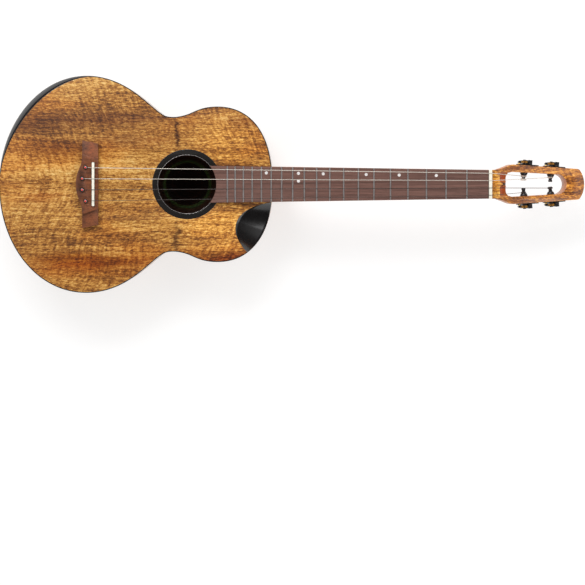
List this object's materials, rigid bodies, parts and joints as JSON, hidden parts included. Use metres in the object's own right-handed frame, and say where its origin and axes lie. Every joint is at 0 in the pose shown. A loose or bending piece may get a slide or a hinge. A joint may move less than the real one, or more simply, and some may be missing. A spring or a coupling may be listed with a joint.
{
  "type": "baritone ukulele",
  "caption": "Hollow-bodied baritone ukulele with figured wood plates, armrest bevel, scooped cutaway, slotted head, fretted neck and open worm-gear tuners that turn.",
  "frame": {"origin": "on the surface it lies on, under the middle of the whole instrument's box", "axes": "+X along the neck to the head, +Y to the bass side, +Z out of the soundboard"},
  "size_m": [0.7652, 0.2828, 0.0978],
  "materials": {
    "figured_body_wood": "glossy clear finish over figured golden-brown wood",
    "neck_wood": "satin orange-tan mahogany",
    "inner_spruce": "raw",
    "rosewood": "oiled open-grained",
    "ebony": "polished black",
    "black_trim": "polished",
    "bone": "polished ivory white",
    "rod_steel": "plain",
    "wound_string": "fine wound",
    "plain_string": "translucent dark",
    "black_metal": "black nickel",
    "gear_brass": "worn",
    "button_black": "polished black"
  },
  "bodies": {
    "root": {"soundboard": "figured_body_wood", "back": "figured_body_wood", "side_bass": "figured_body_wood", "side_treble": "figured_body_wood", "head_veneer": "figured_body_wood", "neck": "neck_wood", "neck_block": "inner_spruce", "tail_block": "inner_spruce", "lining_top": "inner_spruce", "lining_back": "inner_spruce", "top_brace_upper": "inner_spruce", "top_brace_lower": "inner_spruce", "fan_brace_bass": "inner_spruce", "fan_brace_treble": "inner_spruce", "back_brace_lower": "inner_spruce", "back_brace_upper": "inner_spruce", "bridge_plate": "inner_spruce", "fretboard": "rosewood", "bridge": "rosewood", "armrest": "ebony", "cutaway_scoop": "ebony", "neck_filler": "ebony", "binding_bass": "black_trim", "binding_treble": "black_trim", "rosette": "black_trim", "bridge_pin_d": "black_trim", "bridge_pin_g": "black_trim", "bridge_pin_b": "black_trim", "bridge_pin_e": "black_trim", "nut": "bone", "saddle": "bone", "truss_rod": "rod_steel", "string_d": "wound_string", "string_g": "wound_string", "string_b": "plain_string", "string_e": "plain_string", "tuner_plate_bass_near": "black_metal", "bushing_bass_near": "black_metal", "tuner_plate_bass_far": "black_metal", "bushing_bass_far": "black_metal", "tuner_plate_treble_far": "black_metal", "bushing_treble_far": "black_metal", "tuner_plate_treble_near": "black_metal", "bushing_treble_near": "black_metal"},
    "knob_bass_near": {"worm_bass_near": "black_metal", "button_bass_near": "button_black"},
    "post_body_bass_near": {"post_bass_near": "black_metal", "gear_bass_near": "gear_brass"},
    "knob_bass_far": {"worm_bass_far": "black_metal", "button_bass_far": "button_black"},
    "post_body_bass_far": {"post_bass_far": "black_metal", "gear_bass_far": "gear_brass"},
    "knob_treble_far": {"worm_treble_far": "black_metal", "button_treble_far": "button_black"},
    "post_body_treble_far": {"post_treble_far": "black_metal", "gear_treble_far": "gear_brass"},
    "knob_treble_near": {"worm_treble_near": "black_metal", "button_treble_near": "button_black"},
    "post_body_treble_near": {"post_treble_near": "black_metal", "gear_treble_near": "gear_brass"}
  },
  "joints": [
    {"name": "knob_turn_bass_near", "type": "hinge", "parent": "root", "child": "knob_bass_near", "pos_m": [0.30995, 0.02895, 0.06742], "axis": [0.1736, 0, 0.9848], "continuous": true},
    {"name": "post_turn_bass_near", "type": "hinge", "parent": "root", "child": "post_body_bass_near", "pos_m": [0.30366, 0.02936, 0.06853], "axis": [0.0627, 0.998, -0.0111], "continuous": true},
    {"name": "knob_turn_bass_far", "type": "hinge", "parent": "root", "child": "knob_bass_far", "pos_m": [0.3459, 0.02662, 0.06108], "axis": [0.1736, 0, 0.9848], "continuous": true},
    {"name": "post_turn_bass_far", "type": "hinge", "parent": "root", "child": "post_body_bass_far", "pos_m": [0.33961, 0.02703, 0.06219], "axis": [0.0627, 0.998, -0.0111], "continuous": true},
    {"name": "knob_turn_treble_far", "type": "hinge", "parent": "root", "child": "knob_treble_far", "pos_m": [0.3459, -0.02662, 0.06108], "axis": [0.1736, 0, 0.9848], "continuous": true},
    {"name": "post_turn_treble_far", "type": "hinge", "parent": "root", "child": "post_body_treble_far", "pos_m": [0.33961, -0.02703, 0.06219], "axis": [-0.0627, 0.998, 0.0111], "continuous": true},
    {"name": "knob_turn_treble_near", "type": "hinge", "parent": "root", "child": "knob_treble_near", "pos_m": [0.30995, -0.02895, 0.06742], "axis": [0.1736, 0, 0.9848], "continuous": true},
    {"name": "post_turn_treble_near", "type": "hinge", "parent": "root", "child": "post_body_treble_near", "pos_m": [0.30366, -0.02936, 0.06853], "axis": [-0.0627, 0.998, 0.0111], "continuous": true}
  ],
  "couplings": [
    {"joint": "post_turn_bass_near", "follows": "knob_turn_bass_near", "ratio": 0.071429},
    {"joint": "post_turn_bass_far", "follows": "knob_turn_bass_far", "ratio": 0.071429},
    {"joint": "post_turn_treble_far", "follows": "knob_turn_treble_far", "ratio": 0.071429},
    {"joint": "post_turn_treble_near", "follows": "knob_turn_treble_near", "ratio": 0.071429}
  ]
}
